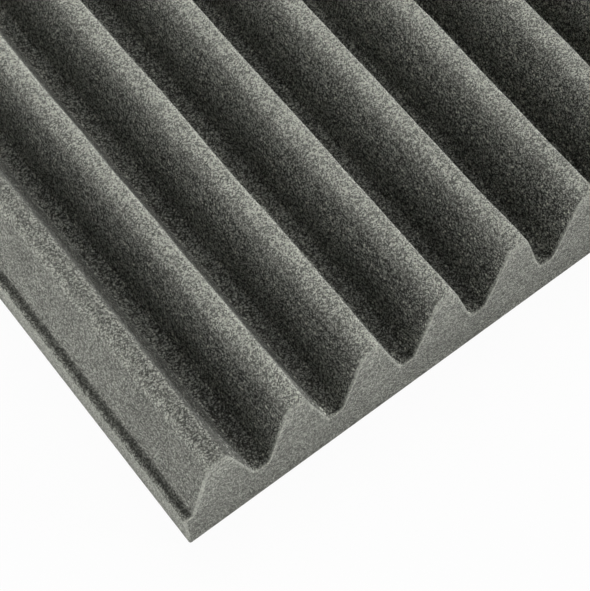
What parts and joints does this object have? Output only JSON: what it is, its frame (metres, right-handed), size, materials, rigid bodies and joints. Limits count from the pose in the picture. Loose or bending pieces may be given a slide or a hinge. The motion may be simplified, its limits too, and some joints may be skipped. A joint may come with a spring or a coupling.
{
  "type": "acoustic foam panel",
  "caption": "Square open-cell foam tile for walls and ceilings: a flat back and a front cut into parallel blunt wedges that absorb sound.",
  "frame": {"origin": "the middle of the flat back face", "axes": "+X across the wedges, +Y along the wedges, +Z out of the back towards the wedge tops"},
  "size_m": [0.6, 0.6, 0.05],
  "materials": {
    "foam": "matt charcoal open-cell polyurethane foam, fine cut cells on every face"
  },
  "bodies": {
    "root": {"foam_panel": "foam"}
  },
  "joints": []
}
